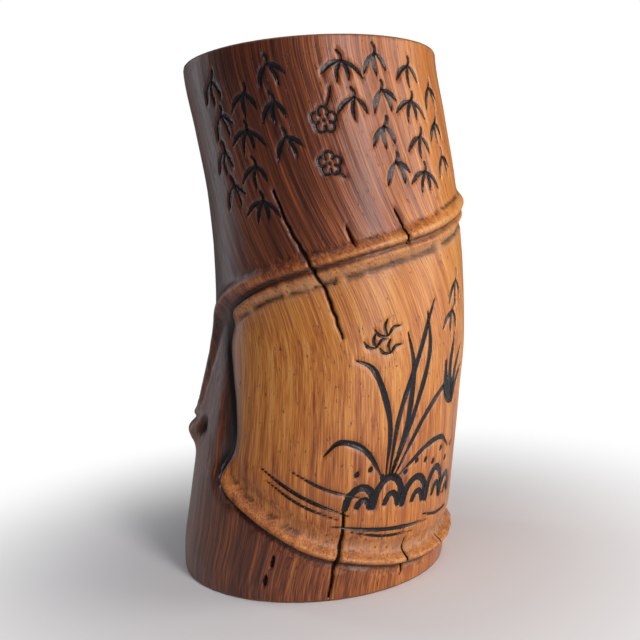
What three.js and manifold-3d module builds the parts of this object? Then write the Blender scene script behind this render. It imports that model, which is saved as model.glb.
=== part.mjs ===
// A brush pot cut from one length of tortoise-shell bamboo, in millimetres, +Z up, standing on z = 0.
// The culm bows to the right (+X). Its two nodes slant towards each other and meet at a bud on the left (-X),
// so the middle internode is a swollen scale that tapers away there. A wooden floor disc is let into a rebate
// in the foot and pinned through the wall by three bamboo pegs. Nothing moves.
import * as THREE from "three";
import { ParametricGeometry } from "three/addons/geometries/ParametricGeometry.js";
import { mergeVertices } from "three/addons/utils/BufferGeometryUtils.js";
import Module from "manifold-3d";

const wasm = await Module();
wasm.setup();

// Overall size of the culm
const height = 150;
const rimThickness = 6.2;
const footThickness = 9.6;
const edgeRound = 0.6;

// Each pair is a height and the culm's half width there, taken across the ridges
const halfWidths = [[0, 40.6], [8, 41.0], [24, 40.7], [42, 40.1], [58, 39.2], [74, 38.2], [94, 37.6], [120, 37.3], [150, 37.4]];

// Each pair is a height and how far the culm's middle lies to the right of the foot's
const bow = [[0, 0], [6, 0.6], [18, 2.7], [34, 5.5], [50, 8.4], [66, 11.5], [82, 12.8], [98, 12.9], [114, 12.1], [132, 9.9], [150, 7.7]];

// Each pair is a height and the depth of the section, front to back, as a share of its width
const flatness = [[0, 0.94], [40, 0.96], [90, 1.0], [150, 1.0]];

// The bud, where the two nodes meet: its bearing from the front, in degrees, and its height
const budBearing = -84;
const budHeight = 44.5;
const budSwell = 2.6;
const budReach = 6.5;

// The seam is the dark fissure round the middle internode, as bearings from the bud in degrees and heights.
// It runs from the far side along the lower node, up past the bud, and back along the upper node.
const lowerSeam = [[180, 7.4], [150, 6.0], [120, 6.4], [98, 9.6], [81, 13.2], [66, 18.6], [48, 25.9], [41, 29.3]];
const creaseSeam = [[36.5, 34], [39, 43], [35, 53], [28, 62], [23.5, 70], [27, 77]];
const upperSeam = [[34, 81.8], [53, 87], [80, 91.2], [110, 95.6], [130, 98.3], [162, 104.6], [180, 106.4]];

// The crest of the upper node, which parts from the seam and runs down to the bud
const upperCrest = [[0, 51], [6, 63], [12, 76], [20, 81.6], [34, 85.6], [60, 90.1], [90, 94.1], [113, 97.6], [142, 102.8], [164, 107.0], [180, 108.4]];

// Heights of the relief over the plain culm, and its half widths
const crestHeight = 1.8;
const crestReach = 2.1;
const lowerCrestHeight = 2.3;
const lowerCrestOffset = 2.5;
const lowerCrestReach = 2.6;
const secondRidgeHeight = 0.9;
const secondRidgeOffset = 1.5;
const secondRidgeReach = 0.9;
const fissureDepth = 0.9;
const fissureReach = 0.8;
const creaseDepth = 2.2;
const creaseReach = 5.5;
const coveDepth = 0.7;
const coveOffset = 8.5;
const coveReach = 3.4;

// What is left inside of the two diaphragms, pared back
const stubHeight = 1.1;
const stubReach = 1.8;

// The floor: a disc let into a rebate from below, and its pegs
const rebateRadius = 33.6;
const discClearance = 0.3;
const discThickness = 6;
const discSetback = 1.4;
const discChamfer = 0.5;
const pegRadius = 1.2;
const pegClearance = 0.2;
const pegGrip = 6.5;
const pegSetback = 0.15;
const pegs = [
  { name: "floor_peg_left", bearing: -96 },
  { name: "floor_peg_back", bearing: 178 },
  { name: "floor_peg_right", bearing: 104 },
];

// How finely the surfaces are divided
const nearBudStep = 3.5;
const nearBudReach = 63;
const farStep = 6.5;
const discSides = 72;
const pegSides = 20;

const degree = Math.PI / 180;

// A smooth curve through [position, value] pairs, level beyond its ends
function through(pairs) {
  const positions = pairs.map((pair) => pair[0]);
  const values = pairs.map((pair) => pair[1]);
  const interpolant = new THREE.CubicInterpolant(positions, values, 1);
  interpolant.settings = { endingStart: THREE.ZeroSlopeEnding, endingEnd: THREE.ZeroSlopeEnding };
  return (at) => interpolant.evaluate(THREE.MathUtils.clamp(at, positions[0], positions.at(-1)))[0];
}

const halfWidthAt = through(halfWidths);
const middleAt = through(bow);
const flatnessAt = through(flatness);
const meanRadius = halfWidthAt(height / 2);

// Bearing from the bud, 0 to 180 degrees on either side
function fromBud(bearing) {
  return Math.abs(THREE.MathUtils.euclideanModulo(bearing - budBearing + 180, 360) - 180);
}

// The same point of a line, seen in the mirror that stands at the given bearing from the bud
function mirrored([bearing, z], mirror) {
  return [2 * mirror - bearing, z];
}

// A line on the unrolled culm, with both axes in millimetres
function unrolled(pairs, points) {
  const flat = pairs.map(([bearing, z]) => new THREE.Vector2(bearing * degree * meanRadius, z));
  return new THREE.SplineCurve(flat).getSpacedPoints(points);
}

// Both lines run on past the far side and the bud as their own mirror images, so they cross there level
const farSide = 180;
const seam = [...lowerSeam, ...creaseSeam, ...upperSeam];
const seamLine = unrolled([mirrored(seam[1], farSide), ...seam, mirrored(seam.at(-2), farSide)], 140);
const crestLine = unrolled([mirrored(upperCrest[1], 0), ...upperCrest, mirrored(upperCrest.at(-2), farSide)], 80);

// Distance from a point to a line on the unrolled culm, negative on its right-hand side
function signedDistance(line, x, z) {
  let nearest = Infinity;
  let side = 1;
  for (let i = 1; i < line.length; i += 1) {
    const from = line[i - 1];
    const along = line[i].clone().sub(from);
    const offset = new THREE.Vector2(x, z).sub(from);
    const share = THREE.MathUtils.clamp(offset.dot(along) / along.lengthSq(), 0, 1);
    const gap = offset.clone().addScaledVector(along, -share).length();
    if (gap < nearest) {
      nearest = gap;
      side = along.cross(offset) < 0 ? -1 : 1;
    }
  }
  return side * nearest;
}

function bump(distance, reach) {
  return Math.exp(-((distance / reach) ** 2));
}

// Height of the carved and grown relief over the plain culm
function relief(bearing, z) {
  const away = fromBud(bearing);
  const x = away * degree * meanRadius;
  const outside = signedDistance(seamLine, x, z);
  const inside = -outside;
  const onLower = 1 - THREE.MathUtils.smoothstep(z, budHeight - 14, budHeight - 4);
  const onUpper = THREE.MathUtils.smoothstep(z, budHeight + 30, budHeight + 36);
  const onCrease = (1 - onLower) * (1 - onUpper);
  const budDistance = Math.hypot(x, z - budHeight);
  const crest = crestHeight * bump(signedDistance(crestLine, x, z), crestReach);
  const lowerCrest = lowerCrestHeight * onLower * bump(inside - lowerCrestOffset, lowerCrestReach);
  const secondRidge = secondRidgeHeight * onUpper * bump(inside - secondRidgeOffset, secondRidgeReach);
  const fissure = fissureDepth * bump(outside, fissureReach);
  const crease = creaseDepth * onCrease * Math.exp(-Math.abs(outside) / creaseReach);
  const cove = coveDepth * onLower * bump(inside - coveOffset, coveReach);
  const bud = budSwell * bump(budDistance, budReach);
  return crest + lowerCrest + secondRidge + bud - fissure - crease - cove;
}

// A point of the culm's outer face
function outerPoint(bearing, z, inset = 0) {
  const angle = bearing * degree;
  const radius = halfWidthAt(z) + relief(bearing, z) - inset;
  return new THREE.Vector3(
    middleAt(z) + radius * Math.sin(angle),
    -radius * flatnessAt(z) * Math.cos(angle),
    z,
  );
}

// A point of the bore's wall
const lowerSeamAt = through([...lowerSeam].reverse());
const upperSeamAt = through(upperSeam);
const crestAt = through(upperCrest);

function borePoint(bearing, z) {
  const angle = bearing * degree;
  const thickness = THREE.MathUtils.mapLinear(z, 0, height, footThickness, rimThickness);
  const away = fromBud(bearing);
  const stub = stubHeight * bump(z - crestAt(Math.max(away, 34)), stubReach);
  const radius = halfWidthAt(z) - thickness - stub;
  return new THREE.Vector3(
    middleAt(z) + radius * Math.sin(angle),
    -radius * flatnessAt(z) * Math.cos(angle),
    z,
  );
}

// A point of a circle round the floor's middle
const discTop = discSetback + discThickness;
const rebateTop = discTop + discClearance;
const floorMiddle = middleAt(rebateTop);

function floorPoint(bearing, radius, z) {
  const angle = bearing * degree;
  return new THREE.Vector3(floorMiddle + radius * Math.sin(angle), -radius * Math.cos(angle), z);
}

// Rows of the culm's skin. Each is a bearing's point, in order: up the outside, over the rim, down the bore
// and out along the rebate. Rows near a node keep their distance from its seam, so that its ridge stays sharp.
const footRise = [0, edgeRound, 2.4];
const lowerOffsets = [-2.6, -1.1, 0, 1.2, 2.5, 4.2, 6.2, 8.5, 11.5];
const middleShares = [0.12, 0.26, 0.4, 0.54, 0.68, 0.82, 0.94];
const upperOffsets = [-4.4, -2.8, -1.5, 0, 1.8, 3.4, 5.6];
const upperShares = [0.14, 0.32, 0.5, 0.68, 0.86];
const boreShares = [0.985, 0.9, 0.8, 0.7, 0.64, 0.58, 0.5, 0.38, 0.26, 0.14];

function lowerGuide(bearing) {
  return lowerSeamAt(Math.max(fromBud(bearing), 41));
}

function upperGuide(bearing) {
  return upperSeamAt(Math.max(fromBud(bearing), 34));
}

const rows = [(bearing) => outerPoint(bearing, 0, edgeRound)];
for (const rise of footRise.slice(1)) {
  rows.push((bearing) => outerPoint(bearing, rise));
}
for (const offset of lowerOffsets) {
  rows.push((bearing) => {
    const floor = footRise.at(-1) + (offset - lowerOffsets[0]) * 0.25 + 0.3;
    return outerPoint(bearing, Math.max(lowerGuide(bearing) + offset, floor));
  });
}
for (const share of middleShares) {
  rows.push((bearing) => {
    const from = lowerGuide(bearing) + lowerOffsets.at(-1);
    const to = upperGuide(bearing) + upperOffsets[0];
    return outerPoint(bearing, THREE.MathUtils.lerp(from, to, share));
  });
}
for (const offset of upperOffsets) {
  rows.push((bearing) => outerPoint(bearing, upperGuide(bearing) + offset));
}
for (const share of upperShares) {
  rows.push((bearing) => {
    const from = upperGuide(bearing) + upperOffsets.at(-1);
    return outerPoint(bearing, THREE.MathUtils.lerp(from, height, share));
  });
}
rows.push((bearing) => outerPoint(bearing, height - edgeRound));
rows.push((bearing) => outerPoint(bearing, height, edgeRound));
rows.push((bearing) => borePoint(bearing, height));
for (const share of boreShares) {
  rows.push((bearing) => borePoint(bearing, THREE.MathUtils.lerp(rebateTop, height, share)));
}
rows.push((bearing) => borePoint(bearing, rebateTop));
rows.push((bearing) => floorPoint(bearing, rebateRadius, rebateTop));
rows.push((bearing) => floorPoint(bearing, rebateRadius, 0));

// Bearings of the skin's columns, closer together near the bud
const bearings = [];
for (let away = -180; away < 180; away += Math.abs(away) < nearBudReach ? nearBudStep : farStep) {
  bearings.push(budBearing + away);
}

function culmSkin() {
  const skin = new ParametricGeometry(
    (u, v, target) => {
      const column = Math.round(u * bearings.length) % bearings.length;
      const row = Math.round(v * rows.length) % rows.length;
      target.copy(rows[row](bearings[column]));
    },
    bearings.length,
    rows.length,
  );
  return skin;
}

// A three.js geometry as a solid that can be joined and cut
function solidOf(geometry) {
  const bare = geometry.clone();
  bare.deleteAttribute("normal");
  bare.deleteAttribute("uv");
  const merged = mergeVertices(bare, 1e-4);
  const solid = new wasm.Manifold(
    new wasm.Mesh({
      numProp: 3,
      vertProperties: new Float32Array(merged.attributes.position.array),
      triVerts: new Uint32Array(merged.index.array),
    }),
  );
  return solid;
}

function geometryOf(solid) {
  const { vertProperties, triVerts } = solid.getMesh();
  const geometry = new THREE.BufferGeometry();
  geometry.setAttribute("position", new THREE.BufferAttribute(vertProperties, 3));
  geometry.setIndex(new THREE.BufferAttribute(triVerts, 1));
  const faceted = geometry.toNonIndexed();
  faceted.computeVertexNormals();
  return faceted;
}

// Where a peg lies: a level line from the floor's middle out through the wall
const pegHeight = discSetback + discThickness / 2;

function pegLine(bearing) {
  const outer = outerPoint(bearing, pegHeight);
  const middle = new THREE.Vector3(floorMiddle, 0, pegHeight);
  const direction = outer.clone().sub(middle);
  return { middle, length: direction.length(), direction: direction.normalize() };
}

function rod(radius, line, from, to) {
  const geometry = new THREE.CylinderGeometry(radius, radius, to - from, pegSides);
  geometry.applyQuaternion(new THREE.Quaternion().setFromUnitVectors(new THREE.Vector3(0, 1, 0), line.direction));
  const at = line.middle.clone().addScaledVector(line.direction, (from + to) / 2);
  return geometry.translate(at.x, at.y, at.z);
}

const discRadius = rebateRadius - discClearance;
const pegInnerEnd = discRadius - pegGrip;
const holeOverrun = 5;

const holes = pegs.map(({ bearing }) => {
  const line = pegLine(bearing);
  return solidOf(rod(pegRadius + pegClearance, line, pegInnerEnd - discClearance, line.length + holeOverrun));
});

function pegGeometry(bearing) {
  const line = pegLine(bearing);
  return rod(pegRadius, line, pegInnerEnd, line.length - pegSetback);
}

function discGeometry() {
  const profile = [
    new THREE.Vector2(0, discSetback),
    new THREE.Vector2(discRadius - discChamfer, discSetback),
    new THREE.Vector2(discRadius, discSetback + discChamfer),
    new THREE.Vector2(discRadius, discTop),
    new THREE.Vector2(0, discTop),
  ];
  const geometry = new THREE.LatheGeometry(profile, discSides).rotateX(Math.PI / 2);
  return geometry.translate(floorMiddle, 0, 0);
}

function drilled(geometry) {
  return geometryOf(holes.reduce((solid, hole) => solid.subtract(hole), solidOf(geometry)));
}

const bamboo = new THREE.MeshStandardMaterial({ color: 0x9a4c1c, roughness: 0.38, metalness: 0 });
const floorWood = new THREE.MeshStandardMaterial({ color: 0x5a2c17, roughness: 0.5, metalness: 0 });
const pegBamboo = new THREE.MeshStandardMaterial({ color: 0x7a4420, roughness: 0.5, metalness: 0 });

const brushPot = new THREE.Group();

function add(name, geometry, material) {
  const mesh = new THREE.Mesh(geometry, material);
  mesh.name = name;
  brushPot.add(mesh);
}

add("culm", drilled(culmSkin()), bamboo);
add("floor_disc", drilled(discGeometry()), floorWood);
for (const { name, bearing } of pegs) {
  add(name, pegGeometry(bearing), pegBamboo);
}

// The origin is the middle of the whole pot's base
const extent = new THREE.Box3().setFromObject(brushPot, true);
const centre = extent.getCenter(new THREE.Vector3());
brushPot.position.set(-centre.x, -centre.y, -extent.min.z);

export default brushPot;
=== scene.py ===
# A brush pot cut from a bowed length of tortoise-shell bamboo, with incised and inked plants, cracks and pits.
# Shapes are worked out in millimetres round the culm and put into the meshes in metres.
import math

import bpy
import numpy as np
from mathutils import Matrix, Vector


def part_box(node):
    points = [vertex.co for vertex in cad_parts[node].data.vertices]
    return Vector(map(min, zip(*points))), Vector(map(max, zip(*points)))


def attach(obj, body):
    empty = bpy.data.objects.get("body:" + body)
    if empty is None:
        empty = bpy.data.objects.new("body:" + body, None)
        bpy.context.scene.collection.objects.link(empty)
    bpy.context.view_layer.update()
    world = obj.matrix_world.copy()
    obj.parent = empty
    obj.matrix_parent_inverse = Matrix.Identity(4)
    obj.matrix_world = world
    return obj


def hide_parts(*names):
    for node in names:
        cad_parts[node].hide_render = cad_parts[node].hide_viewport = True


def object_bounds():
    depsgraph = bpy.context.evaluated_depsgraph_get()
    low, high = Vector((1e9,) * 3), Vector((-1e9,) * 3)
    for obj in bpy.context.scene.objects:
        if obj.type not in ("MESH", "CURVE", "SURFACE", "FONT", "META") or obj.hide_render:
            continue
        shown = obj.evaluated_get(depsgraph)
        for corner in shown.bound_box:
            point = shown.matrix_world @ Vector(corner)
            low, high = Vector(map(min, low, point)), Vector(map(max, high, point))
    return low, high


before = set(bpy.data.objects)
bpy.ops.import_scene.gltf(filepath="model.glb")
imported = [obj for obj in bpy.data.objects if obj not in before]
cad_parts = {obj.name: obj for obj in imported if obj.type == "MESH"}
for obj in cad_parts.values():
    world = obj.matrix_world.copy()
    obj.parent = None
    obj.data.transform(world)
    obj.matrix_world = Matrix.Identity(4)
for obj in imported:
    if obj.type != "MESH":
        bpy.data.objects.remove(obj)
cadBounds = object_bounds()
mm = 0.001
degree = math.pi / 180


# Smooth curve through (position, value) pairs: cubic pieces whose slopes are central differences, level at the ends
def through(pairs):
    x, y = np.array(pairs, float).T
    slope = np.gradient(y, x)
    slope[0] = slope[-1] = 0

    def at(value):
        value = np.clip(value, x[0], x[-1])
        i = np.clip(np.searchsorted(x, value, side="right") - 1, 0, len(x) - 2)
        h = x[i + 1] - x[i]
        t = (value - x[i]) / h
        start = (1 + 2 * t) * (1 - t) ** 2 * y[i] + t * (1 - t) ** 2 * h * slope[i]
        return start + t * t * (3 - 2 * t) * y[i + 1] + t * t * (t - 1) * h * slope[i + 1]

    return at


# Points along a smooth curve through the given ones: each piece blends four neighbours with cubic weights
def smoothLine(points, perPiece):
    points = np.array(points, float)
    padded = np.vstack([2 * points[0] - points[1], points, 2 * points[-1] - points[-2]])
    pieces = np.arange(len(points) - 1)[:, None]
    t = (np.arange(perPiece) / perPiece)[None, :]
    a, b, c, d = (padded[pieces + k][..., :] for k in range(4))
    t = t[..., None]
    line = b + 0.5 * t * (c - a + t * (2 * a - 5 * b + 4 * c - d + t * (3 * (b - c) + d - a)))
    return np.vstack([line.reshape(-1, points.shape[1]), points[-1]])


# Bell of the given reach: e to the minus squared ratio
def bump(distance, reach):
    return np.exp(-((distance / reach) ** 2))


# Cubic step from 0 at low to 1 at high
def rise(value, low, high):
    t = np.clip((value - low) / (high - low), 0, 1)
    return t * t * (3 - 2 * t)


# Culm: the same sizes as the solid that it replaces
culm = {
    "height": 150.0,
    "widths": [(0, 40.6), (8, 41.0), (24, 40.7), (42, 40.1), (58, 39.2), (74, 38.2), (94, 37.6), (120, 37.3),
               (150, 37.4)],
    "bow": [(0, 0), (6, 0.6), (18, 2.7), (34, 5.5), (50, 8.4), (66, 11.5), (82, 12.8), (98, 12.9), (114, 12.1),
            (132, 9.9), (150, 7.7)],
    "flatness": [(0, 0.94), (40, 0.96), (90, 1.0), (150, 1.0)],
    "rimThickness": 6.2,
    "footThickness": 9.6,
    "edgeRound": 0.6,
    "facetMargin": 0.07,   # the solid's flat facets lie this far inside the true round
    "budBearing": -84.0,
    "budHeight": 44.5,
    "lowerSeam": [(180, 7.4), (150, 6.0), (120, 6.4), (98, 9.6), (81, 13.2), (66, 18.6), (48, 25.9), (41, 29.3)],
    "creaseSeam": [(36.5, 34), (39, 43), (35, 53), (28, 62), (23.5, 70), (27, 77)],
    "upperSeam": [(34, 81.8), (53, 87), (80, 91.2), (110, 95.6), (130, 98.3), (162, 104.6), (180, 106.4)],
    "upperCrest": [(0, 51), (6, 63), (12, 76), (20, 81.6), (34, 85.6), (60, 90.1), (90, 94.1), (113, 97.6),
                   (142, 102.8), (164, 107.0), (180, 108.4)],
    "rebateRadius": 33.6,
    "rebateTop": 7.7,
    "frontStep": 0.66,   # degrees between columns where the photo looks
    "backStep": 2.1,
    "rowStep": 0.70,     # mm between rows of the outside
    # How far the grain has turned round the culm at each height, in degrees
    "lean": [(0, 6), (18, 9), (30, 8), (52, 5), (71, 0), (84, -7), (97, -17), (112, -26), (130, -31), (150, -33)],
}
widthAt = through(culm["widths"])
middleAt = through(culm["bow"])
flatnessAt = through(culm["flatness"])
leanAt = through(culm["lean"])
meanRadius = float(widthAt(culm["height"] / 2))
around = meanRadius * degree   # mm round the culm for each degree


# A line round the culm, from bearings off the bud and heights, run on past both ends as its own mirror image
def seamLine(pairs, startMirror):
    first = (2 * startMirror - pairs[1][0], pairs[1][1])
    last = (360 - pairs[-2][0], pairs[-2][1])
    points = [(bearing * around, z) for bearing, z in [first, *pairs, last]]
    return smoothLine(points, 8)


seam = seamLine(culm["lowerSeam"] + culm["creaseSeam"] + culm["upperSeam"], 180)
crest = seamLine(culm["upperCrest"], 0)


# Signed distance to a line: the least distance to its pieces, negative on the line's right
def distanceTo(line, x, z):
    nearest = np.full(np.shape(x), 1e9)
    side = np.ones(np.shape(x))
    for start, end in zip(line[:-1], line[1:]):
        along = end - start
        dx, dz = x - start[0], z - start[1]
        share = np.clip((dx * along[0] + dz * along[1]) / (along @ along), 0, 1)
        gap = np.hypot(dx - share * along[0], dz - share * along[1])
        closer = gap < nearest
        nearest = np.where(closer, gap, nearest)
        side = np.where(closer, np.where(along[0] * dz - along[1] * dx < 0, -1, 1), side)
    return nearest * side


# Soft noise from 0 to 1: a seeded lattice that closes round the culm, blended by cubic steps
def patches(bearing, z, across, along, seed):
    cells = max(3, round(360 * around / across))
    lattice = np.random.default_rng(seed).random((cells, int(260 / along) + 3))
    u = (bearing % 360) / 360 * cells
    v = (z + 60) / along
    i, j = np.floor(u).astype(int), np.floor(v).astype(int)
    s, t = rise(u - i, 0, 1), rise(v - j, 0, 1)
    i, k = i % cells, (i + 1) % cells
    low = lattice[i, j] * (1 - s) + lattice[k, j] * s
    high = lattice[i, j + 1] * (1 - s) + lattice[k, j + 1] * s
    return low * (1 - t) + high * t


# Bearing from the bud, 0 to 180 degrees on either side
def fromBud(bearing):
    return np.abs((bearing - culm["budBearing"] + 180) % 360 - 180)


# Distances and zones that both the shape and the colours use
def zonesAt(bearing, z):
    away = fromBud(bearing) * around
    outside = distanceTo(seam, away, z)
    lower = 1 - rise(z, culm["budHeight"] - 14, culm["budHeight"] - 4)
    upper = rise(z, culm["budHeight"] + 30, culm["budHeight"] + 36)
    return {
        "outside": outside,
        "inside": -outside,
        "crest": distanceTo(crest, away, z),
        "lower": lower,
        "upper": upper,
        "crease": (1 - lower) * (1 - upper),
        "bud": np.hypot(away * 0.8, z - culm["budHeight"] + 1.6),
        "lip": np.hypot(away * 0.5, z - culm["budHeight"] - 3.4),
        "notch": np.hypot(away * 0.4, z - culm["budHeight"] - 1.6),
        "mouth": np.hypot((bearing + 71) * around, (z - 44.8) * 0.8),
    }


# Forms of the relief: height or depth, then reach, in mm; and the heights of the two roughnesses
culmRelief = {
    "crest": (1.8, 2.1),
    "lowerRidge": (2.0, 1.15),
    "secondRidge": (0.9, 0.9),
    "bud": (3.5, 4.4),
    "budLip": (1.5, 1.7),
    "budNotch": (0.9, 1.1),
    "fissure": (1.15, 0.55),
    "crease": (2.2, 5.5),
    "cove": (1.25, 2.3),
    "upperPits": (0.75, 0.55),
    "lowerPits": (0.6, 0.5),
    "budHole": (2.6, 1.9),
    "budGroove": (1.0, 1.7),
    "scarRough": 0.34,
    "fibreRough": 0.10,
}


# Bell of a named form: its height times the bump of its reach
def bell(form, distance):
    size, reach = culmRelief[form]
    return size * bump(distance, reach)


# Relief over the plain culm: bells on crests, bud and ridges, less fissures, crease, cove and pits.
# The bud stands higher here than on the solid.
def reliefAt(bearing, z, zone):
    inside = zone["inside"]
    ragged = patches(bearing, z, 3.2, 1.4, 11)
    creaseDepth, creaseReach = culmRelief["crease"]
    height = bell("crest", zone["crest"])
    height += zone["lower"] * bell("lowerRidge", inside - 1.7)
    height += zone["upper"] * bell("secondRidge", inside - 1.5)
    height += bell("bud", zone["bud"]) + bell("budLip", zone["lip"])
    height -= bell("budNotch", zone["notch"])
    height -= bell("fissure", inside)
    height -= creaseDepth * zone["crease"] * np.exp(-np.abs(inside) / creaseReach)
    height -= zone["lower"] * bell("cove", inside - 5.2)
    height -= zone["upper"] * bell("upperPits", inside - 3.7 - 0.8 * ragged) * rise(ragged, 0.2, 0.5)
    height -= zone["lower"] * bell("lowerPits", zone["outside"] - 0.9 - ragged) * rise(ragged, 0.3, 0.6)
    height -= bell("budHole", zone["mouth"])
    height -= (1 - zone["upper"]) * bump(z - 40, 11) * bell("budGroove", zone["outside"] - 2.4)
    scar = scarAt(bearing, z, zone)
    height += culmRelief["scarRough"] * scar * (patches(bearing, z, 1.6, 0.9, 12) - 0.55)
    height += culmRelief["fibreRough"] * (patches(bearing - leanAt(z), z, 1.3, 26, 13) - 0.5)
    return height


# Pale rough sheath scars: a band inside the upper seam, the lower cove, mostly on the right, and the bud
def scarAt(bearing, z, zone):
    inside = zone["inside"]
    band = zone["upper"] * bump(inside - 3.6, 2.4)
    cove = zone["lower"] * bump(inside - 5.2, 2.0) * (0.3 + 0.7 * rise(bearing, -15, 35))
    return np.clip(0.9 * band + cove + 0.5 * bump(zone["bud"], 5.5), 0, 1)


# A point of the outside from its bearing, height and radius over the plain culm
def outerPoint(bearing, z, over):
    radius = widthAt(z) + over - culm["facetMargin"]
    angle = bearing * degree
    x = middleAt(z) + radius * np.sin(angle)
    y = -radius * flatnessAt(z) * np.cos(angle)
    return np.stack([x, y, np.broadcast_to(z, np.shape(x))], axis=-1)


# Carving: every stroke is a smooth line on the unrolled culm, in mm right of the front and mm up, with its width
strokes = []
cracks = []


# Leaf: a bent line from its stem outwards, thin at both ends
def leaf(x, z, heading, length, width, bend):
    c, s = math.cos(heading * degree), math.sin(heading * degree)
    middle = (x + 0.5 * length * c - bend * length * s, z + 0.5 * length * s + bend * length * c)
    strokes.append(([(x, z), middle, (x + length * c, z + length * s)], width, "leaf"))


# Line: the points as they are, with one width
def line(points, width, kind="line"):
    strokes.append((points, width, kind))


# Spray: leaves fanned round a heading from one joint of a stem
def spray(x, z, headings, length, stem):
    for k, heading in enumerate(headings):
        leaf(x, z, heading, length * (1 - 0.13 * (k % 3)), 1.35 - 0.15 * (k % 2), 0.1 if heading > -90 else -0.1)
    line([(x, z), (x + stem[0] / 2 + 0.4, z + stem[1] / 2), (x + stem[0], z + stem[1])], 0.75)


# Blossom: five round petals about a dotted heart
def blossom(x, z, size):
    for k in range(5):
        turn = (90 + 72 * k) * degree
        cx, cz = x + size * 0.56 * math.cos(turn), z + size * 0.56 * math.sin(turn)
        ring = [(cx + size * 0.37 * math.cos(turn + a), cz + size * 0.37 * math.sin(turn + a))
                for a in np.linspace(-0.8 * math.pi, 0.8 * math.pi, 7)]
        line(ring, 0.75)
    line([(x - 0.35, z), (x + 0.35, z + 0.1)], 0.9)


# Upper internode: hanging sprays in loose columns, and two blossoms
sprayColumns = {
    "starts": [(-31.5, 142.5), (-21.5, 137.5), (-11.8, 144.0), (8.8, 143.5), (17.6, 145.5),
               (28.6, 143.0), (38.5, 138.0)],
    "drops": [4, 4, 3, 2, 4, 4, 3],
    "spacing": 9.4,
    "length": 7.2,
    "fans": [[-128, -96, -62], [-150, -112, -78, -44], [-118, -70, -34], [-142, -100, -58]],
}
for column, ((startX, startZ), drops) in enumerate(zip(sprayColumns["starts"], sprayColumns["drops"])):
    for drop in range(drops):
        fan = sprayColumns["fans"][(column * 3 + drop * 2) % 4]
        sprayX = startX + 0.9 * math.sin(1.7 * column + 2.3 * drop)
        sprayZ = startZ - drop * sprayColumns["spacing"]
        spray(sprayX, sprayZ, fan, sprayColumns["length"], (1.1 * math.cos(column + drop), 2.6))
blossom(0.2, 128.5, 3.7)
blossom(-0.4, 117.4, 3.4)
line([(3.6, 137), (2.2, 133.4), (1.0, 131.6)], 0.7)
line([(3.4, 113.6), (1.8, 114.9), (0.8, 115.5)], 0.7)

# Middle internode: an orchid clump with arching leaves over rounded rocks, moss dots and ripples
orchid = {"foot": (17.0, 33.0), "leaves": [
    [(0, 0), (1.5, 18), (7.5, 38), (11.5, 47)],
    [(0.8, 0), (6.5, 18), (9.5, 33), (8.6, 44)],
    [(-1, 0), (-1.5, 15), (-7.5, 29), (-13.5, 33)],
    [(1.4, -0.5), (9.5, 14), (18, 22), (22.5, 21)],
    [(-1.4, -1), (-7.5, 8), (-14.5, 11), (-18.5, 7.5)],
    [(2.2, -1), (11, 5.5), (19, 7), (24.5, 3)],
    [(0.4, 0), (4, 14), (4.2, 28), (1.6, 39)],
]}
for points in orchid["leaves"]:
    line([(orchid["foot"][0] + dx, orchid["foot"][1] + dz) for dx, dz in points], 1.7, "leaf")
for cx, cz, size in [(12.5, 71.5, 2.5), (9.2, 68.6, 2.2), (13.4, 66.8, 2.1)]:
    for k in range(3):
        leaf(cx, cz, 150 - 58 * k, size * 1.9, 0.9, 0.2)
# Rocks: humps of a cosine arch, each half hidden by the next
for cx, width, tall in [(9.5, 8, 6.5), (17.5, 9, 9.0), (26.5, 9, 8.0), (35.0, 8, 9.5), (42.0, 7, 6.5)]:
    footZ = 23.5 - 0.10 * (cx - 20)
    arch = [(cx + width / 2 * math.sin(a), footZ + tall * math.cos(a)) for a in np.linspace(-1.5, 1.5, 7)]
    line(arch, 2.1)
    inner = [(cx + 0.9 + width / 4 * math.sin(a), footZ - 0.6 + tall * 0.55 * math.cos(a))
             for a in np.linspace(-1.2, 1.4, 5)]
    line(inner, 1.7)
# Ground: long strokes that fall to the right, and short ones beneath, as start, end and width
groundStrokes = [
    (-18.5, 37.5, 7.0, 23.4, 1.0), (-16.0, 34.0, 4.0, 22.8, 0.7), (-9.5, 36.6, 9.5, 28.2, 0.8),
    (2.0, 21.2, 33.0, 16.8, 1.2), (8.0, 18.8, 27.0, 15.4, 0.8), (30, 19.2, 45, 17.2, 0.9),
]
for x0, z0, x1, z1, width in groundStrokes:
    line([(x0, z0), ((x0 + x1) / 2, (z0 + z1) / 2 - 0.9), (x1, z1)], width, "leaf")
# A second plant at the right edge
for heading, length in [(118, 15), (96, 21), (78, 17), (60, 12), (138, 9)]:
    leaf(41.5, 49.0, heading, length, 2.6, 0.14)
spray(41.0, 84.5, [-128, -96, -66], 8.5, (0.6, 3.4))
spray(38.0, 76.0, [-140, -104, -70], 7.5, (1.8, 4.0))
for k in range(11):   # moss dots above the rocks
    mossX = 7.5 + 3.6 * k
    mossZ = 34.0 + 1.9 * math.sin(2.6 * k)
    leaf(mossX, mossZ, 70, 1.7, 1.4, 0)

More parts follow.
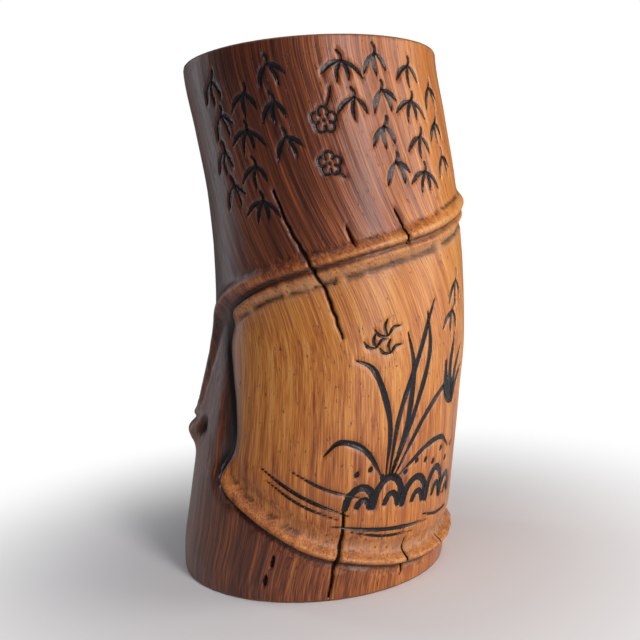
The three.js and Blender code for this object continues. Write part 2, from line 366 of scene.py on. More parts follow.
# Cracks, as bearings and heights along the grain, with their widths in mm
crackPaths = [
    ([(6, 0.9), (7, 8.7), (8, 13.3), (9, 18.1), (8, 25.8)], 0.8),
    ([(-26, 111.8), (-22, 103.3), (-17, 97.1), (-14, 93.6), (-11, 89.5), (-7, 84.9), (-3, 77.5), (0, 71.6)], 0.55),
    ([(24, 105.2), (27, 100.6), (28, 97.7), (29, 95.5)], 0.42),
    ([(3, 101), (6, 95.7)], 0.3),
    ([(-20, 4.5), (-19.6, 7.4)], 0.8),
    ([(-17.5, 10.0), (-17.2, 13.0)], 0.7),
    ([(37, 3.0), (38, 8.5), (37.4, 14.0)], 0.32),
    ([(61, 5.0), (61.6, 13.0)], 0.3),
]
crackDraw = np.random.default_rng(7)
for points, width in crackPaths:
    path = smoothLine([(bearing * around, z) for bearing, z in points], 4)
    path[1:-1, 0] += crackDraw.uniform(-0.22, 0.22, len(path) - 2)
    cracks.append((path, width, "crack"))


# Half width along a stroke: a leaf swells in its middle, a line keeps its width and rounds its ends
def halfWidths(kind, width, count):
    t = np.linspace(0, 1, count)
    uneven = 1 + 0.16 * np.sin(np.arange(count) * 2.4 + count) * np.sin(np.arange(count) * 0.9)
    if kind == "leaf":
        return 0.5 * width * uneven * np.sin(math.pi * np.clip(t, 0.02, 0.98)) ** 0.75
    if kind == "crack":
        ragged = np.random.default_rng(count).random(count)
        return 0.5 * width * (0.45 + 0.75 * ragged) * np.sin(math.pi * np.clip(t, 0.03, 0.97)) ** 0.4
    return 0.5 * width * uneven * np.clip(np.minimum(t, 1 - t) * 9 + 0.3, 0, 1) ** 0.5


# Depth of the cuts at each vertex: a V whose shoulders reach past the stroke, the deepest of all that pass there
def cutDepth(items, bearing, z, shoulder, depth):
    x = bearing * around
    result = np.zeros(x.shape)
    for points, width, kind in items:
        path = smoothLine(points, 6)
        half = halfWidths(kind, width, len(path))
        reach = shoulder + width
        near = ((x > path[:, 0].min() - reach) & (x < path[:, 0].max() + reach)
                & (z > path[:, 1].min() - reach) & (z < path[:, 1].max() + reach))
        px, pz = x[near], z[near]
        best = np.zeros(px.shape)
        for k in range(len(path) - 1):
            along = path[k + 1] - path[k]
            dx, dz = px - path[k, 0], pz - path[k, 1]
            share = np.clip((dx * along[0] + dz * along[1]) / (along @ along), 0, 1)
            gap = np.hypot(dx - share * along[0], dz - share * along[1])
            wide = half[k] + (half[k + 1] - half[k]) * share + shoulder
            best = np.maximum(best, depth * np.clip(1 - gap / wide, 0, 1))
        result[near] = np.maximum(result[near], best)
    return result


# Mesh from a grid of points that closes round in both directions, one quad for each cell
def closedGrid(name, points, attributes):
    rows, columns = points.shape[:2]
    i, j = np.meshgrid(np.arange(rows), np.arange(columns), indexing="ij")
    nextRow, nextColumn = (i + 1) % rows, (j + 1) % columns
    quads = np.stack([i * columns + j, i * columns + nextColumn,
                      nextRow * columns + nextColumn, nextRow * columns + j], -1)
    return meshFrom(name, points.reshape(-1, 3), quads.reshape(-1, 4), attributes)


# Mesh from plain arrays, with one named value or vector for each vertex
def meshFrom(name, points, faces, attributes):
    mesh = bpy.data.meshes.new(name)
    mesh.vertices.add(len(points))
    mesh.vertices.foreach_set("co", (points * mm).astype(np.float32).ravel())
    sides = faces.shape[1]
    mesh.loops.add(faces.size)
    mesh.loops.foreach_set("vertex_index", faces.ravel().astype(np.int32))
    mesh.polygons.add(len(faces))
    mesh.polygons.foreach_set("loop_start", np.arange(0, faces.size, sides, dtype=np.int32))
    mesh.update(calc_edges=True)
    for key, values in attributes.items():
        values = np.asarray(values, float)
        form = "FLOAT_VECTOR" if values.ndim > 1 and values.shape[-1] == 3 else "FLOAT"
        layer = mesh.attributes.new(key, form, "POINT")
        field = "vector" if form == "FLOAT_VECTOR" else "value"
        layer.data.foreach_set(field, values.astype(np.float32).ravel())
    mesh.polygons.foreach_set("use_smooth", np.ones(len(faces), bool))
    mesh.validate()
    piece = bpy.data.objects.new(name, mesh)
    bpy.context.scene.collection.objects.link(piece)
    return piece


# Straight grain space: the point where the bow and the turn of the grain are undone
def grainSpace(bearing, z, radius):
    angle = (bearing - leanAt(z)) * degree
    return np.stack([radius * np.sin(angle), -radius * np.cos(angle), z + 0 * angle], -1) * mm


front = np.arange(-92, 88, culm["frontStep"])
back = np.arange(front[-1] + culm["backStep"], front[0] + 360 - 0.5 * culm["backStep"], culm["backStep"])
bearings = np.concatenate([front, back])
rowCount = round(culm["height"] / culm["rowStep"])
heights = np.linspace(culm["edgeRound"], culm["height"] - culm["edgeRound"], rowCount)
bearingGrid, heightGrid = np.meshgrid((bearings + 180) % 360 - 180, heights)
zone = zonesAt(bearingGrid, heightGrid)
relief = reliefAt(bearingGrid, heightGrid, zone)
cuts = {"shoulder": 0.45, "carving": 0.62, "crack": 1.6}   # mm
cutMap = cutDepth(strokes, bearingGrid, heightGrid, cuts["shoulder"], cuts["carving"])
crackMap = cutDepth(cracks, bearingGrid, heightGrid, cuts["shoulder"], cuts["crack"])
outside = outerPoint(bearingGrid, heightGrid, relief - np.maximum(cutMap, crackMap))
print("culm outside worked out", outside.shape)

# Rim, bore, rebate and foot: rings of the same columns
ringBearing = bearings[None, :]
edge = culm["edgeRound"]


# Ring at the rim or the foot: the relief of the nearest row less an inset
def ringAt(z, inset):
    row = -1 if z > culm["height"] / 2 else 0
    return outerPoint(ringBearing, np.full(ringBearing.shape, float(z)), relief[row] - inset)[0]


# The bore: the plain culm less its wall, with the pared stubs of the diaphragm and a toolmarked waviness
def boreRing(z):
    wall = culm["footThickness"] + (culm["rimThickness"] - culm["footThickness"]) * z / culm["height"]
    away = fromBud(ringBearing)
    nodeZ = through(culm["upperCrest"])(np.maximum(away, 34))
    level = np.full(ringBearing.shape, float(z))
    waves = 0.3 * (patches(ringBearing, level, 7, 9, 21) - 0.5)
    return outerPoint(ringBearing, level, -wall - 1.1 * bump(z - nodeZ, 1.8) + waves)[0]


# Ring of the rebate: a circle round the middle of the culm at the top of the rebate
def rebateRing(z, radius=None):
    angle = ringBearing[0] * degree
    radius = radius or culm["rebateRadius"]
    x = middleAt(culm["rebateTop"]) + radius * np.sin(angle)
    return np.stack([x, -radius * np.cos(angle), np.full(x.shape, float(z))], -1)


rimMiddle = 0.5 * (ringAt(culm["height"], edge) + boreRing(culm["height"]))
boreHeights = np.linspace(culm["height"] - 0.7, culm["rebateTop"] + 0.6, 46)
extraRings = [ringAt(culm["height"] - 0.15, 0.25 * edge), ringAt(culm["height"], edge), rimMiddle]
extraRings += [boreRing(culm["height"]), *[boreRing(z) for z in boreHeights], boreRing(culm["rebateTop"])]
extraRings += [rebateRing(culm["rebateTop"]), rebateRing(culm["rebateTop"] / 2), rebateRing(0.3)]
extraRings += [rebateRing(0, culm["rebateRadius"] + 0.3)]
extraRings += [ringAt(0, edge), ringAt(0.15, 0.25 * edge)]
culmPoints = np.concatenate([outside, np.array(extraRings)])

# Tone runs from dark red brown at 0 to golden at 1; besides the culm's own colour it holds painted shade on the left
insideScale = rise(zone["inside"], 0, 3)
upperPart = (1 - insideScale) * rise(heightGrid, 60, 78)
footPart = (1 - insideScale) * (1 - rise(heightGrid, 60, 78))
# Darker on the left, golden on the right: partly the culm's own colour, partly painted shade on the side turned from
# the key lamp
rightwardToneAndShade = rise(np.sin((bearingGrid - 8) * degree), -0.85, 0.85)
tone = insideScale * (0.58 + 0.14 * rise(heightGrid, 30, 60) + 0.06 * rightwardToneAndShade)
tone += upperPart * (0.16 + 0.54 * rightwardToneAndShade)
tone += footPart * (0.26 + 0.30 * rightwardToneAndShade)
tone += 0.16 * (patches(bearingGrid, heightGrid, 24, 34, 31) - 0.5)
tone += 0.30 * zone["upper"] * bump(zone["crest"], 1.5)
tone += 0.10 * zone["upper"] * bump(zone["inside"] - 1.6, 0.9)
tone += 0.14 * zone["lower"] * bump(zone["inside"] - 1.7, 1.2)
nodeRagged = patches(bearingGrid, heightGrid, 2.4, 0.9, 15)
# Painted shade in the hollows: the fissures, the crease, the hole and groove by the bud and two rows of pits; with
# ragged dark marks over the crest
ridgePits = rise(patches(bearingGrid, heightGrid, 2.6, 1.2, 14), 0.45, 0.7)
scarPits = rise(patches(bearingGrid, heightGrid, 3.2, 1.4, 11), 0.2, 0.5)
shadeAndMarks = 1.15 * bump(zone["inside"] + 0.3 * nodeRagged, 0.65)
shadeAndMarks += zone["upper"] * bump(zone["crest"] - 2.1 - nodeRagged, 0.5) * rise(nodeRagged, 0.5, 0.68)
shadeAndMarks += 0.9 * zone["crease"] * bump(zone["inside"], 2.6)
shadeAndMarks += 1.3 * bump(zone["mouth"], 2.4)
shadeAndMarks += (1 - zone["upper"]) * bump(heightGrid - 40, 11) * bump(zone["outside"] - 2.2, 2.0)
shadeAndMarks += 0.9 * zone["lower"] * bump(zone["inside"] - 3.9, 0.6) * (1 - rise(bearingGrid, -5, 12)) * ridgePits
shadeAndMarks += 0.9 * zone["upper"] * bump(zone["inside"] - 4.2, 0.8) * scarPits
shadeAndMarks = np.clip(shadeAndMarks, 0, 1)
scar = scarAt(bearingGrid, heightGrid, zone)
radiusGrid = widthAt(heightGrid) + relief
extraShape = (len(extraRings), len(bearings))
extraZ = np.array(extraRings)[..., 2]


# An attribute over the whole culm: its values on the outside, and one plain value on the cut faces and bore
def wholeCulm(values, plain):
    return np.concatenate([values, np.full(extraShape, float(plain))]).ravel()


extraBearing = np.broadcast_to(ringBearing, extraShape)
extraCentre = np.stack([middleAt(extraZ), 0 * extraZ], -1)
extraRadius = np.hypot(*(np.array(extraRings)[..., :2] - extraCentre).transpose(2, 0, 1))
grain = np.concatenate([grainSpace(bearingGrid, heightGrid, radiusGrid),
                        grainSpace(extraBearing, extraZ, extraRadius)])
extent = culmPoints.reshape(-1, 3)
cadCentre = (np.array(cadBounds[0]) + np.array(cadBounds[1])) / 2 / mm
shift = np.array([cadCentre[0] - (extent[:, 0].min() + extent[:, 0].max()) / 2, 0, 0])
culmPiece = closedGrid("culm_surface", culmPoints + shift, {
    "grain": grain.reshape(-1, 3),
    "tone": wholeCulm(tone, 0.25),
    "shadeAndMarks": wholeCulm(shadeAndMarks, 0),
    "scar": wholeCulm(scar, 0),
    "carved": wholeCulm(np.clip(cutMap / cuts["carving"], 0, 1), 0),
    "crackShade": wholeCulm(np.clip(crackMap / cuts["crack"], 0, 1), 0),
    "cutFace": wholeCulm(np.zeros(bearingGrid.shape), 1),
})
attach(culmPiece, "root")
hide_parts("culm")
print("culm mesh", len(culmPiece.data.polygons), "quads")


# Ink lines, and dark bars of painted shadow in the cracks: a five-sided bar carried along each stroke, its open side
# a shallow V just over the culm's own cut
def inkAndShadowBars(name, items, edgeDepth, heartDepth, underDepth):
    points, faces, start = [], [], 0
    for path, width, kind in items:
        path = smoothLine(path, 6)
        half = np.maximum(halfWidths(kind, width, len(path)), 0.03)
        along = np.gradient(path, axis=0)
        along /= np.linalg.norm(along, axis=1)[:, None]
        across = np.stack([along[:, 1], -along[:, 0]], -1)
        offsets = np.array([-1, 0, 1, 0.8, -0.8])
        depths = np.array([edgeDepth, heartDepth, edgeDepth, underDepth, underDepth])
        flat = path[:, None, :] + across[:, None, :] * (offsets[None, :] * half[:, None])[..., None]
        bearing, z = flat[..., 0] / around, np.clip(flat[..., 1], 0.35, culm["height"] - 0.6)
        over = reliefAt(bearing, z, zonesAt(bearing, z)) - depths[None, :]
        ring = outerPoint(bearing, z, over)
        count = len(path)
        i, j = np.meshgrid(np.arange(count - 1), np.arange(5), indexing="ij")
        k = (j + 1) % 5
        quads = start + np.stack([i * 5 + j, (i + 1) * 5 + j, (i + 1) * 5 + k, i * 5 + k], -1).reshape(-1, 4)
        ends = start + np.array([[0, 1, 3, 4], [1, 2, 3, 3]])
        last = start + (count - 1) * 5 + np.array([[1, 0, 4, 3], [2, 1, 3, 3]])
        points.append(ring.reshape(-1, 3))
        faces += [quads, ends, last]
        start += count * 5
    triangles = np.concatenate([np.concatenate([f[:, [0, 1, 2]], f[:, [0, 2, 3]]]) for f in faces])
    distinct = triangles[:, 1] != triangles[:, 2]
    piece = meshFrom(name, np.concatenate(points) + shift, triangles[distinct], {})
    piece.data.polygons.foreach_set("use_smooth", np.zeros(len(piece.data.polygons), bool))
    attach(piece, "root")
    return piece


inkPiece = inkAndShadowBars("ink_in_carving", strokes, 0.20, 0.36, 0.95)
crackPiece = inkAndShadowBars("shadow_in_cracks", cracks, 0.35, 0.9, 2.2)
print("strokes", len(strokes), "cracks", len(cracks))


# Turned piece: a profile of radii and heights swept round an upright axis, closed at both poles
def turned(name, profile, sides, centre, attributes):
    radius, z = np.array(profile, float).T
    angle = np.arange(sides) / sides * 2 * math.pi
    x = centre[0] + np.outer(radius[1:-1], np.cos(angle))
    y = centre[1] + np.outer(radius[1:-1], np.sin(angle))
    rings = np.stack([x, y, np.broadcast_to(z[1:-1, None], x.shape)], -1).reshape(-1, 3)
    points = np.vstack([rings, [centre[0], centre[1], z[0]], [centre[0], centre[1], z[-1]]])
    rows = len(radius) - 2
    i, j = np.meshgrid(np.arange(rows - 1), np.arange(sides), indexing="ij")
    k = (j + 1) % sides
    a, b, c, d = i * sides + j, i * sides + k, (i + 1) * sides + k, (i + 1) * sides + j
    j, k = np.arange(sides), (np.arange(sides) + 1) % sides
    foot = np.stack([k, j, np.full(sides, rows * sides)], -1)
    top = np.stack([(rows - 1) * sides + j, (rows - 1) * sides + k, np.full(sides, rows * sides + 1)], -1)
    body = np.concatenate([np.stack([a, b, c], -1).reshape(-1, 3), np.stack([a, c, d], -1).reshape(-1, 3)])
    return meshFrom(name, points, np.concatenate([body, foot, top]), attributes)


# Floor disc: turned rings underneath, a worn upper face
discLow, discHigh = (np.array(corner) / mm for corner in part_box("floor_disc"))
disc = {
    "radius": (discHigh[0] - discLow[0]) / 2,
    "low": discLow[2],
    "high": discHigh[2],
    "rings": 34,
    "chamfer": 0.5,
    "toolMarks": 0.05,   # half the height of the turned rings, in mm
    "markTurn": 2.1,     # turn of their wave for each mm of radius
    "wear": 0.12,
}
discMiddle = (discLow + discHigh) / 2
ringRadii = np.linspace(0, disc["radius"] - disc["chamfer"], disc["rings"])
underside = [(r, disc["low"] + disc["toolMarks"] * (1 - math.cos(disc["markTurn"] * r))) for r in ringRadii]
upperside = [(r, disc["high"] - disc["wear"] * (1 - (r / disc["radius"]) ** 2)) for r in ringRadii[::-1]]
flank = [(disc["radius"], disc["low"] + disc["chamfer"]), (disc["radius"], disc["high"] - 0.3)]
discPiece = turned("floor_board", underside + flank + upperside, 160, discMiddle, {})
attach(discPiece, "root")
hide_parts("floor_disc")

# Pegs: a rounded rod from the disc out through the wall, its end a little proud and domed
pegs = {"radius": 1.2, "sides": 28, "chamfer": 0.4, "proud": 0.15}
pegPieces = []
for side in ("left", "back", "right"):
    node = "floor_peg_" + side
    low, high = (np.array(corner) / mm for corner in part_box(node))
    middle = (low + high) / 2
    axis = middle - np.array([discMiddle[0], discMiddle[1], middle[2]])
    axis /= np.linalg.norm(axis)
    aside = np.array([-axis[1], axis[0], 0])
    span = high - low
    # The box of a level rod: its length along x is the length times the axis plus the width times the rest
    length = (span[0] * abs(axis[0]) + span[1] * abs(axis[1]) - 4 * pegs["radius"] * abs(axis[0] * axis[1]))
    end = length / 2 + pegs["proud"]
    wide = pegs["radius"]
    profile = [(0, -length / 2), (wide - pegs["chamfer"], -length / 2), (wide, -length / 2 + pegs["chamfer"]),
               (wide, end - 0.2), (wide - 0.2, end - 0.04), (0.5, end + 0.03), (0, end + 0.05)]
    pegPiece = turned(node + "_pin", profile, pegs["sides"], (0, 0), {})
    turn = Matrix((aside, (0, 0, 1), axis)).transposed()
    if turn.determinant() < 0:
        turn = Matrix((-aside, (0, 0, 1), axis)).transposed()
    pegPiece.data.transform(Matrix.Translation(Vector(middle) * mm) @ turn.to_4x4())
    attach(pegPiece, "root")
    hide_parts(node)
    pegPieces.append(pegPiece)
print("floor and pegs made")


# Shader graph helper: adds a node, sets its plain values and links the sockets given as outputs
def addNode(tree, kind, inputs=None, **settings):
    node = tree.nodes.new(kind)
    for key, value in settings.items():
        setattr(node, key, value)
    for key, value in (inputs or {}).items():
        if isinstance(value, bpy.types.NodeSocket):
            tree.links.new(value, node.inputs[key])
        else:
            node.inputs[key].default_value = value
    return node


# Node group with the given input and output sockets
def newGroup(name, inputs, outputs):
    group = bpy.data.node_groups.new(name, "ShaderNodeTree")
    for socketName, kind, value in inputs:
        socket = group.interface.new_socket(socketName, in_out="INPUT", socket_type=kind)
        if value is not None:
            socket.default_value = value
    for socketName, kind in outputs:
        group.interface.new_socket(socketName, in_out="OUTPUT", socket_type=kind)
    return group, group.nodes.new("NodeGroupInput"), group.nodes.new("NodeGroupOutput")


# Fibres: noise drawn out along the grain, fine and broad, and the pores between the fibres
def fibreGroup():
    group, given, result = newGroup("bambooFibres", [
        ("Vector", "NodeSocketVector", None),
        ("Fine", "NodeSocketFloat", 2600.0),
        ("Broad", "NodeSocketFloat", 480.0),
        ("Along", "NodeSocketFloat", 0.018),
    ], [("Fine", "NodeSocketFloat"), ("Broad", "NodeSocketFloat"), ("Pores", "NodeSocketFloat")])
    stretch = addNode(group, "ShaderNodeCombineXYZ", {"X": 1.0, "Y": 1.0, "Z": given.outputs["Along"]})
    drawn = addNode(group, "ShaderNodeVectorMath", {0: given.outputs["Vector"], 1: stretch.outputs[0]},
                    operation="MULTIPLY")
    fine = addNode(group, "ShaderNodeTexNoise", {"Vector": drawn.outputs[0], "Scale": given.outputs["Fine"],
                                                 "Detail": 3.0})
    broad = addNode(group, "ShaderNodeTexNoise", {"Vector": drawn.outputs[0], "Scale": given.outputs["Broad"],
                                                  "Detail": 4.0, "Roughness": 0.6})
    short = addNode(group, "ShaderNodeCombineXYZ", {"X": 1.0, "Y": 1.0, "Z": 0.42})
    pitSpace = addNode(group, "ShaderNodeVectorMath", {0: given.outputs["Vector"], 1: short.outputs[0]},
                       operation="MULTIPLY")
    pits = addNode(group, "ShaderNodeTexNoise", {"Vector": pitSpace.outputs[0], "Scale": 1500.0, "Detail": 2.0})
    pores = addNode(group, "ShaderNodeMapRange", {"Value": pits.outputs["Fac"], "From Min": 0.655,
                                                  "From Max": 0.72})
    group.links.new(fine.outputs["Fac"], result.inputs["Fine"])
    group.links.new(broad.outputs["Fac"], result.inputs["Broad"])
    group.links.new(pores.outputs["Result"], result.inputs["Pores"])
    return group


fibres = fibreGroup()


# Material with its node tree and its shader
def newMaterial(name):
    material = bpy.data.materials.new(name)
    material.use_nodes = True
    tree = material.node_tree
    shader = tree.nodes["Principled BSDF"]
    return material, tree, shader


# Colour that runs in straight lines between the stops
def colourRamp(tree, value, stops):
    ramp = addNode(tree, "ShaderNodeValToRGB", {"Fac": value})
    elements = ramp.color_ramp.elements
    while len(elements) < len(stops):
        elements.new(0.5)
    for element, (position, colour) in zip(elements, stops):
        element.position = position
        element.color = (*colour, 1)
    return ramp.outputs["Color"]


# Mix node: the first colour times one less the amount, plus the second times the amount
def mixColour(tree, amount, first, second):
    mix = addNode(tree, "ShaderNodeMix", data_type="RGBA")
    for socket, value in ((mix.inputs[0], amount), (mix.inputs[6], first), (mix.inputs[7], second)):
        if isinstance(value, bpy.types.NodeSocket):
            tree.links.new(value, socket)
        else:
            socket.default_value = value if socket.type == "VALUE" else (*value, 1)
    return mix.outputs[2]


# Maths node: one operation on two values
def calculate(tree, operation, first, second, clamp=False):
    return addNode(tree, "ShaderNodeMath", {0: first, 1: second}, operation=operation, use_clamp=clamp).outputs[0]


# Value of a named point attribute
def attributeOf(tree, name, output="Fac"):
    return addNode(tree, "ShaderNodeAttribute", attribute_name=name).outputs[output]


bambooLook = {
    "stops": [(0.0, (0.035, 0.009, 0.005)), (0.28, (0.130, 0.032, 0.011)), (0.52, (0.300, 0.084, 0.019)),
              (0.76, (0.480, 0.170, 0.030)), (1.0, (0.600, 0.270, 0.070))],
    "scarColour": (0.34, 0.235, 0.150),
    "cutDark": (0.045, 0.016, 0.007),
    "cutLight": (0.40, 0.200, 0.080),
    # Near black of the painted shade in hollows, cuts and cracks, and of the dark pores and dots
    "shadeAndMarksColour": (0.012, 0.007, 0.006),
}
bamboo, tree, shader = newMaterial("rubbedBamboo")
grainVector = attributeOf(tree, "grain", "Vector")
fibre = addNode(tree, "ShaderNodeGroup", {"Vector": grainVector}, node_tree=fibres)
broadStreaks = calculate(tree, "SUBTRACT", fibre.outputs["Broad"], 0.5)
fineStreaks = calculate(tree, "MULTIPLY", calculate(tree, "SUBTRACT", fibre.outputs["Fine"], 0.5), 1.1)
streaks = calculate(tree, "ADD", broadStreaks, fineStreaks)
toneValue = calculate(tree, "ADD", attributeOf(tree, "tone"), streaks, clamp=True)
base = colourRamp(tree, toneValue, bambooLook["stops"])
cutBase = mixColour(tree, fibre.outputs["Fine"], bambooLook["cutDark"], bambooLook["cutLight"])
cutShade = calculate(tree, "MULTIPLY", fibre.outputs["Broad"], 0.6)
cutBase = mixColour(tree, cutShade, cutBase, bambooLook["cutDark"])
base = mixColour(tree, attributeOf(tree, "cutFace"), base, cutBase)
speckle = addNode(tree, "ShaderNodeTexNoise", {"Vector": grainVector, "Scale": 900.0, "Detail": 3.0})
scarSpread = addNode(tree, "ShaderNodeMapRange", {"Value": speckle.outputs["Fac"], "From Min": 0.35,
                                                  "From Max": 0.6})
scarMask = calculate(tree, "MULTIPLY", attributeOf(tree, "scar"), scarSpread.outputs[0])
base = mixColour(tree, calculate(tree, "MULTIPLY", scarMask, 0.62), base, bambooLook["scarColour"])
dots = addNode(tree, "ShaderNodeMapRange", {"Value": speckle.outputs["Fac"], "From Min": 0.36, "From Max": 0.28})
scarDots = calculate(tree, "MULTIPLY", dots.outputs[0], attributeOf(tree, "scar"))
# Darkening: painted shade in the hollows, at the bottom of the carved cuts and in the cracks, with the pores and the
# dark dots of the scars
shadeAndMarksMask = calculate(tree, "ADD", attributeOf(tree, "shadeAndMarks"), scarDots, clamp=True)
shadeAndMarksMask = calculate(tree, "ADD", shadeAndMarksMask, calculate(tree, "MULTIPLY", fibre.outputs["Pores"], 0.75), clamp=True)
carvedShade = calculate(tree, "MULTIPLY", attributeOf(tree, "carved"), 0.9, clamp=True)
shadeAndMarksMask = calculate(tree, "MAXIMUM", shadeAndMarksMask, calculate(tree, "POWER", carvedShade, 2.0))
shadeAndMarksMask = calculate(tree, "MAXIMUM", shadeAndMarksMask, calculate(tree, "POWER", attributeOf(tree, "crackShade"), 1.5))
base = mixColour(tree, calculate(tree, "MULTIPLY", shadeAndMarksMask, 0.93), base, bambooLook["shadeAndMarksColour"])
tree.links.new(base, shader.inputs["Base Color"])
roughness = calculate(tree, "ADD", calculate(tree, "MULTIPLY", attributeOf(tree, "scar"), 0.30),
                      calculate(tree, "ADD", 0.30, calculate(tree, "MULTIPLY", fibre.outputs["Fine"], 0.16)))
roughness = calculate(tree, "ADD", roughness, calculate(tree, "MULTIPLY", attributeOf(tree, "cutFace"), 0.2), clamp=True)
tree.links.new(roughness, shader.inputs["Roughness"])
heightValue = calculate(tree, "SUBTRACT", calculate(tree, "ADD", fibre.outputs["Fine"], fibre.outputs["Broad"]),
                        calculate(tree, "MULTIPLY", shadeAndMarksMask, 1.4))
bumpNode = addNode(tree, "ShaderNodeBump", {"Height": heightValue, "Strength": 0.55, "Distance": 0.00016})
tree.links.new(bumpNode.outputs["Normal"], shader.inputs["Normal"])
shader.inputs["Specular IOR Level"].default_value = 0.38
shader.inputs["Coat Weight"].default_value = 0.22
shader.inputs["Coat Roughness"].default_value = 0.34
culmPiece.data.materials.append(bamboo)


# Ink, and the painted shadow in the cracks: near black, the ink glossy with a slight unevenness
def darkMaterial(name, colour, roughnessLow, roughnessHigh):
    material, tree, shader = newMaterial(name)
    shader.inputs["Specular IOR Level"].default_value = 0.3
    place = addNode(tree, "ShaderNodeTexCoord").outputs["Object"]
    wear = addNode(tree, "ShaderNodeTexNoise", {"Vector": place, "Scale": 1400.0, "Detail": 3.0})
    worn = addNode(tree, "ShaderNodeMapRange", {"Value": wear.outputs["Fac"], "To Min": roughnessLow,
                                                "To Max": roughnessHigh})
    tint = mixColour(tree, wear.outputs["Fac"], colour, tuple(2.2 * c for c in colour))
    tree.links.new(tint, shader.inputs["Base Color"])
    tree.links.new(worn.outputs[0], shader.inputs["Roughness"])
    dents = addNode(tree, "ShaderNodeBump", {"Height": wear.outputs["Fac"], "Strength": 0.5, "Distance": 0.0001})
    tree.links.new(dents.outputs["Normal"], shader.inputs["Normal"])
    return material


inkPiece.data.materials.append(darkMaterial("blackInk", (0.004, 0.0045, 0.006), 0.16, 0.42))
crackPiece.data.materials.append(darkMaterial("crackShadow", (0.006, 0.004, 0.003), 0.7, 0.95))


# Wood of the floor and the pegs: drawn-out fibres along one axis between two colours
def woodMaterial(name, dark, light, turn, fine, roughnessValue):
    material, tree, shader = newMaterial(name)
    place = addNode(tree, "ShaderNodeTexCoord").outputs["Object"]
    turned = addNode(tree, "ShaderNodeMapping", {"Vector": place, "Rotation": turn})
    fibre = addNode(tree, "ShaderNodeGroup", {"Vector": turned.outputs[0], "Fine": fine, "Broad": fine / 4, "Along": 0.06},
                    node_tree=fibres)
    amount = calculate(tree, "ADD", calculate(tree, "MULTIPLY", fibre.outputs["Broad"], 0.6),
                       calculate(tree, "MULTIPLY", fibre.outputs["Fine"], 0.4))
    base = mixColour(tree, amount, dark, light)
    base = mixColour(tree, calculate(tree, "MULTIPLY", fibre.outputs["Pores"], 0.7), base, (0.012, 0.006, 0.004))
    tree.links.new(base, shader.inputs["Base Color"])
    spread = addNode(tree, "ShaderNodeMapRange", {"Value": fibre.outputs["Fine"], "To Min": roughnessValue - 0.08,
                                                  "To Max": roughnessValue + 0.12})
    tree.links.new(spread.outputs[0], shader.inputs["Roughness"])
    bumpNode = addNode(tree, "ShaderNodeBump", {"Height": fibre.outputs["Fine"], "Strength": 0.5, "Distance": 0.0002})
    tree.links.new(bumpNode.outputs["Normal"], shader.inputs["Normal"])
    return material


floorWood = woodMaterial("floorWood", (0.055, 0.020, 0.010), (0.19, 0.080, 0.035), (math.pi / 2, 0, 0.3),
                         1300.0, 0.5)
discPiece.data.materials.append(floorWood)
pegMaterial = woodMaterial("pegBamboo", (0.10, 0.040, 0.016), (0.34, 0.165, 0.065), (0, math.pi / 2, 0), 2200.0, 0.45)
for pegPiece in pegPieces:
    pegPiece.data.materials.append(pegMaterial)
print("materials made")

# Stage: a wide pale floor that keeps the shadow near the pot and fades to white farther out
stageLook = {"size": 6.0, "colour": (0.90, 0.90, 0.90), "fadeFrom": 0.05, "fadeTo": 0.17}
floorMesh = bpy.data.meshes.new("stage_floor")
half = stageLook["size"]
floorMesh.from_pydata([(-half, -half, 0), (half, -half, 0), (half, half, 0), (-half, half, 0)], [], [(0, 1, 2, 3)])
floor = bpy.data.objects.new("stage_floor", floorMesh)
bpy.context.scene.collection.objects.link(floor)
floorMaterial, tree, shader = newMaterial("paleFloor")
shader.inputs["Base Color"].default_value = (*stageLook["colour"], 1)
shader.inputs["Roughness"].default_value = 0.9
place = addNode(tree, "ShaderNodeTexCoord").outputs["Object"]
distance = addNode(tree, "ShaderNodeVectorMath", {0: place}, operation="LENGTH").outputs["Value"]
fade = addNode(tree, "ShaderNodeMapRange", {"Value": distance, "From Min": stageLook["fadeFrom"],
                                            "From Max": stageLook["fadeTo"]},
               interpolation_type="SMOOTHSTEP").outputs[0]
path = addNode(tree, "ShaderNodeLightPath")
seen = calculate(tree, "MULTIPLY", path.outputs["Is Camera Ray"], fade)
white = addNode(tree, "ShaderNodeEmission", {"Color": (1, 1, 1, 1), "Strength": 1.0})
mixed = addNode(tree, "ShaderNodeMixShader", {0: seen, 1: shader.outputs[0], 2: white.outputs[0]})
tree.links.new(mixed.outputs[0], tree.nodes["Material Output"].inputs["Surface"])
floorMesh.materials.append(floorMaterial)

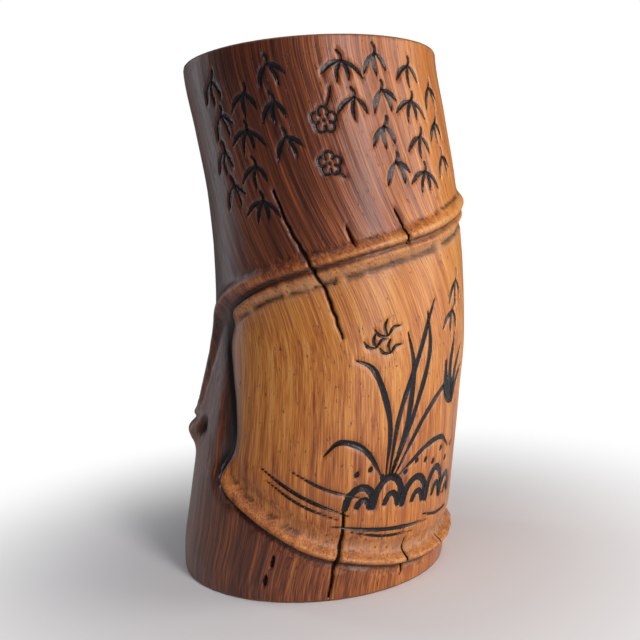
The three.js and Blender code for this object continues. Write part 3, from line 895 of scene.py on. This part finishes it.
# World: white to the camera, a plain soft grey to everything else
world = bpy.data.worlds.new("studioWorld")
bpy.context.scene.world = world
world.use_nodes = True
tree = world.node_tree
path = addNode(tree, "ShaderNodeLightPath")
backdrop = mixColour(tree, path.outputs["Is Camera Ray"], (0.09, 0.09, 0.10), (1.0, 1.0, 1.0))
tree.links.new(backdrop, tree.nodes["Background"].inputs["Color"])
tree.nodes["Background"].inputs["Strength"].default_value = 1.0

# Lamps: a tall window-like key to the front right, a warm low fill on the right, a thin rim on the left
lamps = [
    {"name": "keyWindow", "at": (0.38, -0.58, 0.26), "size": (0.16, 0.62), "power": 3.9, "colour": (1.0, 0.94, 0.96)},
    {"name": "rightFill", "at": (0.75, -0.12, 0.20), "size": (0.35, 0.50), "power": 3.0, "colour": (1.0, 0.95, 0.88)},
    {"name": "leftRim", "at": (-0.55, 0.30, 0.22), "size": (0.06, 0.50), "power": 0.5, "colour": (0.92, 0.94, 1.0)},
    {"name": "topSoft", "at": (0.0, -0.10, 0.80), "size": (0.60, 0.60), "power": 1.2, "colour": (1.0, 1.0, 1.0)},
]
for lamp in lamps:
    data = bpy.data.lights.new(lamp["name"], "AREA")
    data.shape = "RECTANGLE"
    data.size, data.size_y = lamp["size"]
    data.energy = lamp["power"]
    data.color = lamp["colour"]
    light = bpy.data.objects.new(lamp["name"], data)
    light.location = lamp["at"]
    towards = Vector((0, 0, 0.075)) - light.location
    light.rotation_euler = towards.to_track_quat("-Z", "Y").to_euler()
    bpy.context.scene.collection.objects.link(light)

# Camera: fitted to the photo's outline; it looks a little down and is turned a little on its axis
cameraFit = {"place": (6.845, -245.645, 99.037), "lens": 44.81, "sensor": 36.0,
             "pitch": -0.105, "yaw": 0.002, "roll": -0.061}
cameraData = bpy.data.cameras.new("photoCamera")
cameraData.lens = cameraFit["lens"]
cameraData.sensor_width = cameraFit["sensor"]
cameraData.clip_start = 0.01
camera = bpy.data.objects.new("photoCamera", cameraData)
camera.matrix_world = (Matrix.Translation((Vector(cameraFit["place"]) + Vector(shift)) * mm)
                       @ Matrix.Rotation(cameraFit["yaw"], 4, "Z")
                       @ Matrix.Rotation(math.pi / 2 + cameraFit["pitch"], 4, "X")
                       @ Matrix.Rotation(cameraFit["roll"], 4, "Z"))
bpy.context.scene.collection.objects.link(camera)
bpy.context.scene.camera = camera
bpy.context.scene.view_settings.view_transform = "Standard"
